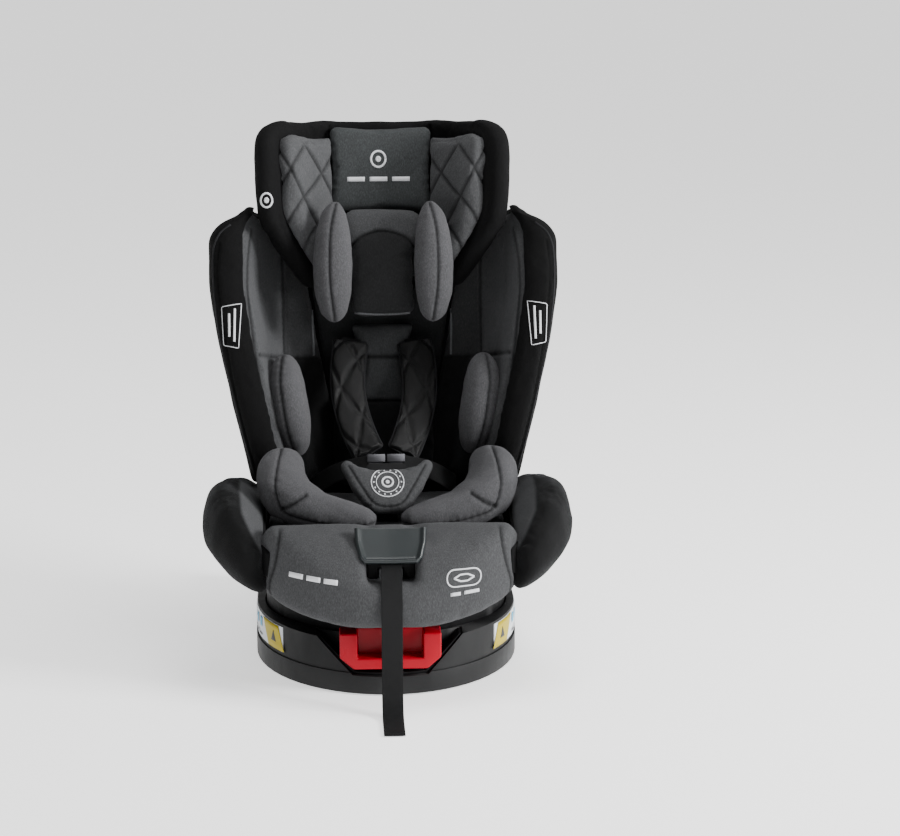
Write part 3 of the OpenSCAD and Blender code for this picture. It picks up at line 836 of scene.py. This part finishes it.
def flatter_ear(q):
    q[:, 2] = 182 + (q[:, 2] - 182) * 0.87
    return q


reshape(head_wing, BACK, wing_top)
reshape(head_pillow, BACK, wider_band)
reshape(torso, BACK, longer_bolster)
reshape(hip, SEAT, lower_lobe)
reshape(seat_wing, SEAT, flatter_ear)
for obj in (back_wing, wing_pad):
    reshape(obj, BACK, rounded_shoulder)
reshape(seat_cushion, SEAT, fuller_front)
reshape(crotch, BUCKLE, lambda q: q - [0, 0, 9])
settle(raw.values())
for fine in (head_wing, head_pillow, almonds, insert_pad, torso, hip, crotch, headrest_pad, wing_pad,
             seat_cushion, seat_wing, headrest_shell):
    refine(fine)


# ---------------------------------------------------------------- headrest details
def pair(right, material, body, nodes):
    """Finish a right piece and its mirror image on the left, each with its own nodes."""
    left = mirrored(right, right.name.replace("right", "left"))
    for obj, own in zip((right, left), nodes):
        piece(obj, material, body, own)
    return left


def both_soft(obj, material, body, node):
    return pair(obj, material, body, ([f"{node}_right"], [f"{node}_left"]))


rumple(headrest_shell, 0.35, 16)
groove(headrest_shell, [[[s * 62, 455], [s * 64, 430], [s * 66, 350], [s * 52, 300]] for s in (1, -1)],
       1.8, 1.6)
piece(headrest_shell, BLACK, "headrest", ["headrest_shell"])

quilt(head_wing, 33, 1.7, 1.8, 2.4, region=lambda q: np.clip((430 - q[:, 2]) / 12, 0, 1))
rumple(head_wing, 0.3, 12, 3)
both_soft(head_wing, QUILT, "headrest", "headrest_wing")

rumple(headrest_pad, 0.3, 15, 1)
piece(headrest_pad, PANEL, "headrest", ["headrest_pad"])

ARCH = [[-40, 300], [-26, 312], [0, 319], [26, 312], [40, 300]]
groove(head_pillow, [ARCH], 2.2, 2.6)
local = BACK.inverse(vertices(head_pillow))
tint(head_pillow, lambda co: (local[:, 2] < 319 - 0.0119 * local[:, 0] ** 2) * 0.7)
rumple(head_pillow, 0.35, 13, 2)
piece(head_pillow, CHARCOAL, "headrest", ["head_pillow"])

for s in (-1, 1):
    seam = [[s * 57, 350], [s * 64, 318], [s * 66, 280], [s * 65, 245], [s * 60, 206]]
    groove(almonds, [seam], 1.8, 2.2, pucker=0.7)
rumple(almonds, 0.3, 12, 5)
piece(almonds, LIGHT, "headrest", ["pillow_cushions"])


# ---------------------------------------------------------------- back
groove(back_pad, [[[-110, 165], [110, 165]]], 2.4, 2.4)
tint(back_pad, lambda co: np.where(BACK.inverse(co)[:, 2] < 165, 0.9, 0.45))
rumple(back_pad, 0.5, 22, 1)
soften(back_pad)
piece(back_pad, DARK, "seat", ["back_pad"])

groove(wing_pad, [[[119, 30], [121, 165], [124, 300]], [[80, 165], [150, 165]]], 2.4, 2.4)
groove(wing_pad, [[[128, 12], [150, 120], [165, 250], [160, 320]]], 1.6, 0.6)


def wing_tone(co):
    q = BACK.inverse(co)
    edge = np.where(q[:, 2] < 165, 112, 121)
    inside = np.clip((edge - q[:, 0]) / 2, 0, 1)
    return inside * np.where(q[:, 2] < 165, 0.95, 0.5)


tint(wing_pad, wing_tone)
rumple(wing_pad, 0.5, 24, 4)
both_soft(wing_pad, CHARCOAL, "seat", "wing_pad")

refine(back_wing)
rumple(back_wing, 0.4, 26, 6)
groove(back_wing, [[[154, 8], [168, 60], [182, 120], [193, 190], [201, 260], [198, 300]]], 1.8, 1.5)
back_wing_left = both_soft(back_wing, NET, "seat", "back_wing")

across = [[[-66, 110], [66, 110]], [[-40, 165], [40, 165]]]
groove(insert_pad, across + [[[x, 10], [x, 108]] for x in (-30, 30)], 2.4, 2.6)
tint(insert_pad, lambda co: (BACK.inverse(co)[:, 2] < 112) * 0.75)
rumple(insert_pad, 0.4, 16, 7)
piece(insert_pad, DARK, "seat", ["insert_back_pad"])

groove(torso, [[[110, 40], [119, 70], [125, 105], [128, 140], [123, 175]]], 1.9, 2.4, pucker=0.8)
rumple(torso, 0.35, 13, 8)
both_soft(torso, LIGHT, "seat", "torso_bolster")

HIP_SEAM = [[124, 282], [131, 262], [134, 238], [126, 214], [104, 206], [74, 201], [44, 199], [10, 201]]
groove(hip, [HIP_SEAM], 1.6, 2.4, place=SEAT, pucker=0.8, facing=-0.3, smooth=60)
groove(hip, [[[127, 215], [112, 224], [98, 233]]], 2.2, 3.0, place=SEAT, facing=-0.6)
rumple(hip, 0.4, 13, 9)
both_soft(hip, LIGHT, "seat", "hip_bolster")


# ---------------------------------------------------------------- seat
edges = [[[s * 128, 206], [s * 134, 170], [s * 142, 140], [s * 138, 118]] for s in (-1, 1)]
groove(seat_cushion, edges, 1.8, 1.6, place=SEAT)
rumple(seat_cushion, 0.5, 25, 10)
piece(seat_cushion, CHARCOAL, "seat", ["seat_cushion"])


def ear_tone(co):
    """Black outside a line that runs down and inward across the front of the wing."""
    q = co / MM
    level = 0.974 * q[:, 2] + 0.225 * q[:, 1]
    line = np.interp(level, [81, 113, 141, 177, 208], [124, 138, 156, 173, 177])
    return np.clip((q[:, 0] - line) / 4 + 0.5, 0, 1)


tint(seat_wing, ear_tone)
rumple(seat_wing, 0.4, 22, 11)
both_soft(seat_wing, CHARCOAL, "seat", "seat_wing")

groove(crotch, [[[-46, 13], [-30, -17], [-14, -39], [14, -39], [30, -17], [46, 13]]], 1.4, 1.2, place=BUCKLE)
rumple(crotch, 0.25, 10, 12)
piece(crotch, CHARCOAL, "seat", ["crotch_pad"])


# ---------------------------------------------------------------- harness
HARNESS = [
    (39, -25, 188, 40), (41, -29, 174, 24), (44, -40, 150, 20), (44, -54, 118, 24),
    (38, -70, 88, 30), (28, -86, 60, 34), (20, -98, 44, 38),
]


def harness_line(n):
    line = smooth_line(HARNESS, n)
    p = BACK(line[:, :3])
    d = np.gradient(line[:, :3], axis=0)
    across = np.stack([-d[:, 2], np.zeros(n), d[:, 0]], 1)
    across /= np.linalg.norm(across, axis=1, keepdims=True)
    return p, across @ BACK.m.T * -1


def shoulder_web():
    p, across = harness_line(80)
    return ribbon("shoulder_strap_right_web", p, across, 0.0245, 0.0018)


def shoulder_pad():
    """A quilted sleeve, folded round the strap, with a piped edge."""
    p, across = harness_line(120)
    p, across = p[7:], across[7:]
    n = len(p)
    d = np.gradient(p, axis=0)
    d /= np.linalg.norm(d, axis=1, keepdims=True)
    up = np.cross(across, d)
    up *= np.sign((up @ [0, -1, 0]).mean())
    rows = []
    for k in range(n):
        t = k / (n - 1)
        end = math.sqrt(max(0.0, 1 - (1 - min(1, min(t, 1 - t) / 0.03)) ** 2))
        half = (21 - 2.5 * t) * (0.93 + 0.07 * end)
        thick = 1.5 + 5.0 * end
        a = np.linspace(0, 2 * np.pi, 72, endpoint=False)
        x = np.sign(np.cos(a)) * np.abs(np.cos(a)) ** 0.62 * half
        y = np.sign(np.sin(a)) * np.abs(np.sin(a)) ** 0.8 * thick
        lane = np.array([x, np.full(len(a), t * 140)])
        hill = 1.0
        for s in (1, -1):
            u = (lane[0] + s * lane[1] * 0.62 + 8) / 38
            near = np.abs(u - np.round(u)) * 32
            hill = np.minimum(hill, 1 - np.exp(-((near / 3.0) ** 2)))
        y = y * (0.5 + 0.62 * hill) + np.sign(y) * 0.6
        rows.append(p[k] + across[k] * (x * MM)[:, None] + up[k] * (y * MM)[:, None])
    obj = refine(loft("shoulder_pad_right_soft", rows))
    out = across * ((21.5 - 2.5 * np.arange(n) / (n - 1)) * MM)[:, None]
    loop = np.concatenate([(p - out)[2:-2], [p[-1] + d[-1] * 0.001], (p + out)[2:-2][::-1]])
    pipe = tube("shoulder_pad_right_piping", even_line(loop, 140), 0.0014)
    return obj, pipe


NO_NODES = ((), ())
pair(shoulder_web(), WEBBING, "seat", (["shoulder_straps"], ()))
pad, pipe = shoulder_pad()
both_soft(pad, BLACK_QUILT, "seat", "shoulder_pad")
pair(pipe, BLACK_PIPING, "seat", NO_NODES)

LAP = [(20, -50, 249), (44, -36, 240), (62, -18, 229), (76, 2, 216), (88, 20, 203)]
lap = np.array(LAP, float) * MM
lap = even_line(smooth_line(lap, 60), 50)
lap_web = ribbon("lap_strap_right_web", lap, np.array([0.3, 0.75, 0.45]), 0.0245, 0.0018)
pair(lap_web, WEBBING, "seat", (["lap_straps"], ()))

CROTCH = [(0, -86, 168), (0, -86, 186), (0, -88, 194), (0, -92.5, 207), (0, -95, 211)]
crotch_path = even_line(smooth_line(np.array(CROTCH, float) * MM, 60), 40)
crotch_web = ribbon("crotch_strap_web", crotch_path, np.array([1.0, 0, 0]), 0.0245, 0.0022)
piece(crotch_web, WEBBING, "seat", ["crotch_strap"])


# ---------------------------------------------------------------- adjuster flap
COVER = Place((0, -208, 192), (0, math.sin(math.radians(38)), math.cos(math.radians(38))))


def flap():
    rows, cols = 40, 60
    front, back = [], []
    for z in np.linspace(18, -26.5, rows):
        side = np.interp(z, [-27, -20, 0, 18], [30, 36.5, 41, 42])
        x = np.linspace(-side, side, cols)
        rim = np.minimum(side - np.abs(x), z + 27.5)
        bead = 3.0 * np.exp(-((np.clip(rim, 0, None) - 3.2) / 2.4) ** 2)
        y = -6.5 - bead + 1.5 * np.exp(-((x / 22) ** 2)) - 0.02 * (18 - z)
        front.append(COVER(np.column_stack([x, y, np.full(cols, z)])))
        back.append(COVER(np.column_stack([x, np.full(cols, -4.0), np.full(cols, z)])))
    return soften(slab("adjuster_cover_soft", np.array(front), np.array(back)))


piece(flap(), LEATHER, "seat", ["adjuster_cover"])


# ---------------------------------------------------------------- piping, and the liner behind the cushion
def both_pipes(stem, line, target, radius, sink, material):
    right = piping(f"{stem}_right", line, BACK, skin(target), radius, sink)
    pair(right, material, "seat", NO_NODES)


inner_edge = [[86, 168], [87, 200], [88, 235], [89, 268]]
both_pipes("back_piping", inner_edge, wing_pad, 1.5, 0.4, PIPING)
outer_edge = [[156, 10], [170, 60], [184, 120], [199, 190], [206, 260], [204, 298], [195, 315], [180, 326]]
both_pipes("wing_piping", outer_edge, back_wing, 1.4, 0.3, BLACK_PIPING)
lower_edge = [[-38, 219], [-20, 217], [0, 216.5], [20, 217], [38, 219]]
pillow_pipe = piping("pillow_piping", lower_edge, BACK, skin(head_pillow), 1.5, 0.2)
piece(pillow_pipe, PIPING, "headrest", ())

liner = []
for y in (63.5, 68.5):
    x, z = np.meshgrid(np.linspace(-150, 150, 60), np.linspace(160, 214, 14))
    liner.append(np.stack([x, np.full_like(x, y) + 0.8 * np.sin(x / 9) * (214 - z) / 54, z], -1) * MM)
piece(slab("seat_liner", *liner), BLACK, "seat", ())

# (x, y) in mm of the gap between the cushion and a side wing, from back to front
SIDE_PLAN = [(145, 62), (148, 20), (149.5, -60), (149.5, -140), (145, -170), (136, -190)]


def side_gap_shade_liner(name, s):
    """Cloth that closes the gap between the cushion and a side wing, made near-black as painted shade for
    the deep gap.
    """
    plan = even_line(smooth_line(SIDE_PLAN, 60), 70)
    sheets = []
    for lift in (-4.0, 8.0):
        rows = []
        for v in np.linspace(0, 1, 14):
            top = np.interp(plan[:, 1], [-190, -150, -60, 62], [178, 194, 203, 200])
            low = np.interp(plan[:, 1], [-190, -150, 62], [150, 136, 140])
            rows.append(np.column_stack([s * (plan[:, 0] + lift), plan[:, 1], low + (top - low) * v]))
        sheets.append(np.array(rows) * MM)
    return slab(name, *sheets)


# real cloth in the gaps, in near-black as painted shade
for side, s in (("right", 1), ("left", -1)):
    piece(side_gap_shade_liner(f"seat_side_liner_{side}", s), BLACK, "seat", ())


# ---------------------------------------------------------------- hard parts
def moulding(node, material, width=1.2, segments=3):
    """A CAD solid with its edges rounded."""
    obj = round_edges(from_node(f"{node}_moulding", node, smooth=True), width, segments)
    body = next(b for b, nodes in frame["record"]["behaviour"]["bodies"].items() if node in nodes)
    piece(obj, material, body, [node])


for node, material, *edge in (
    ("base_shell", SHELL, 1.6), ("release_handle", RED, 2.2, 4), ("turntable", BLACK_PLASTIC),
    ("isofix_head_left", GREY_PLASTIC, 1.4), ("sip_plate_left", SILVER), ("belt_guide_left", RED, 1.4),
    ("isofix_head_right", GREY_PLASTIC, 1.4), ("sip_plate_right", SILVER), ("belt_guide_right", RED, 1.4),
    ("seat_pan", BLACK_PLASTIC, 1.4), ("back_shell", BLACK_PLASTIC, 2.0),
    ("buckle_body", BLACK_PLASTIC, 1.6), ("buckle_button", RED, 0.8),
    ("buckle_tongues", TONGUE, 0.5), ("adjuster_housing", BLACK_PLASTIC, 1.0),
    ("adjuster_button", GREY_PLASTIC, 0.8), ("headrest_lever", BLACK_PLASTIC, 1.4),
    ("handle_bezel", BLACK_PLASTIC, 0.6),
):
    moulding(node, material, *edge)

carriage = []
for x, y, z in ((40, (-7, 30), (352, 430)), (44, (17, 26), (120, 353)), (28, (-16, -6), (224, 252))):
    corners = ((-x, y[0]), (x, y[0]), (x, y[1]), (-x, y[1]))
    carriage.append(loft("carriage", [BACK([(a, b, c) for a, b in corners]) for c in z]))
carriage = merge("headrest_carriage", carriage)
round_edges(carriage, 2.0)
piece(carriage, BLACK_PLASTIC, "headrest", ())


def plate_mount(side):
    """The block that joins a side plate to the tapering flank of its back wing."""
    inward = np.array(joint(f"pod_slide_{side}")["axis"])
    obj = from_node(f"sip_mount_{side}", f"sip_plate_{side}")
    co = vertices(obj)
    centre = (co.min(0) + co.max(0)) / 2
    deep = (co - centre) @ inward
    flat = co - centre - deep[:, None] * inward
    sunk = np.where(deep > deep.max() - 0.5 * MM, deep + 16 * MM, deep + 0.8 * MM)
    set_vertices(obj, centre + 0.95 * flat + sunk[:, None] * inward)
    piece(round_edges(obj, 1.0), BLACK_PLASTIC, "seat", ())


plate_mount("left")
plate_mount("right")

for node, material in {
    "base_bottom_plate": BLACK_PLASTIC, "base_feet": RUBBER, "base_screws": STEEL,
    "bearing_ring": WHITE_PLASTIC, "hub_ring": BLACK_PLASTIC, "side_labels": PALE,
    "isofix_guides": STEEL, "lock_bolt": STEEL,
    "isofix_arm_left": STEEL, "isofix_arm_right": STEEL, "isofix_button_left": GREEN,
    "isofix_button_right": GREEN, "recline_rails": STEEL, "sip_pod_left": SILVER, "sip_pod_right": SILVER,
}.items():
    mesh = frame["nodes"][node].data
    mesh.materials.clear()
    mesh.materials.append(material)


# ---------------------------------------------------------------- film labels round the base
BASE_W, BASE_F = 160.2, 188.2  # half width, and depth of the curved front


def base_edge(s, y, out=0.0):
    """A point on the side of the base at depth y, in mm."""
    if y >= 0:
        return np.array([s * (BASE_W + out), y])
    x = BASE_W * math.sqrt(1 - (y / BASE_F) ** 2)
    n = np.array([x / BASE_W**2, y / BASE_F**2])
    return np.array([x, y]) * [s, 1] + n / np.linalg.norm(n) * [s, 1] * out


def film(name, s, corners, out, material):
    """A film patch on the base's side; corners (y, z): lower rear, lower front, upper front, upper rear."""
    rows, cols = 6, 26
    c = np.asarray(corners, float)
    top = np.zeros((rows, cols, 3))
    low = np.zeros((rows, cols, 3))
    for k, v in enumerate(np.linspace(0, 1, rows)):
        for i, u in enumerate(np.linspace(0, 1, cols)):
            y, z = (c[0] * (1 - u) + c[1] * u) * (1 - v) + (c[3] * (1 - u) + c[2] * u) * v
            for grid, lift in ((top, out), (low, out - 0.12)):
                grid[k, i] = [*base_edge(s, y, lift), z]
    return piece(slab(name, top * MM, low * MM), material, "base", ())


for s, side in ((1, "right"), (-1, "left")):
    film(f"film_yellow_{side}", s, [(-80, 32.5), (-116, 32.5), (-105, 62.5), (-62, 62.5)], 0.35, YELLOW)
    film(f"film_sign_{side}", s, [(-88, 41), (-100, 41), (-94.5, 54), (-93.5, 54)], 0.5, INK)
    for kind, count, first, pitch, long, (low, high), material in (
        ("cyan", 4, -56, 19, 9, (47, 59), CYAN), ("rule", 4, -56, 19, 14, (36, 38), INK),
        ("pink", 5, 24, 21, 8, (46, 58), PINK), ("note", 5, 24, 21, 13, (37, 39), INK),
    ):
        for k in range(count):
            y = first + pitch * k
            ends = (y + 3.8, y + 4.2) if kind == "pink" else (y, y + long)
            corners = [(y + long, low), (y, low), (ends[0], high), (ends[1], high)]
            film(f"film_{kind}_{side}_{k}", s, corners, 0.5, material)


# ---------------------------------------------------------------- marks, all of them generic
def mark(name, lines, width, place, trees, body="seat", **how):
    piece(stroke(name, lines, width, place, trees, **how), WHITE_INK, body, ())


def spot(name, outline, place, trees, body="seat"):
    piece(patch(name, outline, place, trees), WHITE_INK, body, ())


head_skin = skin(headrest_pad)
mark("emblem_ring", [ring(-3, 411, 9, 10)], 2.6, BACK, head_skin, "headrest", closed=True)
spot("emblem_dot", ring(-3, 411, 3.4, 3.8, 20), BACK, head_skin, "headrest")
bars = [[[-42, 386], [-20, 386]], [[-14, 386], [8, 386]], [[14, 386], [36, 386]]]
mark("emblem_line", bars, 5.5, BACK, head_skin, "headrest")

BADGE_Z = -10
crotch_skin = skin(crotch)
for k, (r, w) in enumerate(((19.5, 1.2), (13.5, 1.0))):
    mark(f"badge_ring_{k}", [ring(0, BADGE_Z, r, r)], w, BUCKLE, crotch_skin, closed=True)
dots = []
for a in np.linspace(0, 2 * math.pi, 14, endpoint=False):
    x, z = 16.5 * math.cos(a), BADGE_Z + 16.5 * math.sin(a)
    dots.append([[x - 0.9, z], [x + 0.9, z]])
mark("badge_dots", dots, 1.8, BUCKLE, crotch_skin, step=0.6)
mark("badge_core", [ring(0, BADGE_Z, 6.5, 6.5)], 2.4, BUCKLE, crotch_skin, closed=True)
spot("badge_dot", ring(0, BADGE_Z, 2.4, 2.4, 20), BUCKLE, crotch_skin)

seat_skin = skin(seat_cushion)
bars = [[[-118, 160], [-102, 158.5]], [[-98, 158], [-82, 156.5]], [[-78, 156], [-62, 154.5]]]
mark("front_line", bars, 6.0, SEAT, seat_skin)
mark("front_pill", [round_box(84, 157, 20, 10, 9)], 1.6, SEAT, seat_skin, closed=True)
arrows = [[[72, 157], [80, 161], [88, 161], [96, 157]], [[96, 157], [88, 153], [80, 153], [72, 157]]]
mark("front_arrows", arrows, 2.0, SEAT, seat_skin)
mark("front_caption", [[[68, 138], [80, 138.5]], [[84, 139], [102, 140]]], 4.0, SEAT, seat_skin)

for s, wing, side in ((1, back_wing, "right"), (-1, back_wing_left, "left")):
    wing_skin = skin(wing)
    frame_line = [[s * 172, 226], [s * 196, 222], [s * 194, 176], [s * 176, 172]]
    inner = [[[s * 180, 220], [s * 181, 180]], [[s * 187, 214], [s * 187, 186]]]
    mark(f"wing_label_{side}", [frame_line], 0.9, BACK, wing_skin, closed=True)
    mark(f"wing_label_lines_{side}", inner, 2.6, BACK, wing_skin)

shell_skin = skin(headrest_shell)
mark("rim_badge", [ring(-141, 352, 7, 8.5)], 2.2, BACK, shell_skin, "headrest", closed=True)
spot("rim_badge_dot", ring(-141, 352, 3, 3.6, 16), BACK, shell_skin, "headrest")


# ---------------------------------------------------------------- floor and light
def area(name, at, aim, size, power):
    lamp = add_object(name, bpy.data.lights.new(name, "AREA"))
    lamp.data.shape, lamp.data.size, lamp.data.energy = "SQUARE", size, power
    lamp.location = at
    lamp.rotation_euler = (Vector(aim) - Vector(at)).to_track_quat("-Z", "Y").to_euler()


def make_floor():
    n = 60
    me = bpy.data.meshes.new("floor")
    me.from_pydata([(-n, -n, 0), (n, -n, 0), (n, n, 0), (-n, n, 0)], [], [(0, 1, 2, 3)])
    floor = add_object("floor", me)
    me.materials.append(Nodes("pale_floor").surface(
        Base_Color=rgb((0.9, 0.9, 0.9)), Roughness=0.9, Specular_IOR_Level=0.1,
        Emission_Color=rgb((1, 1, 1)), Emission_Strength=1.0))


make_floor()
world = bpy.data.worlds.new("studio")
world.use_nodes = True
sky = world.node_tree.nodes["Background"].inputs
sky["Color"].default_value, sky["Strength"].default_value = (1, 1, 1, 1), 0.42
bpy.context.scene.world = world
area("key", (2.7, -1.3, 1.35), (0, 0, 0.35), 1.0, 175)
area("top", (0.4, -0.2, 2.7), (0, 0, 0.3), 1.3, 45)
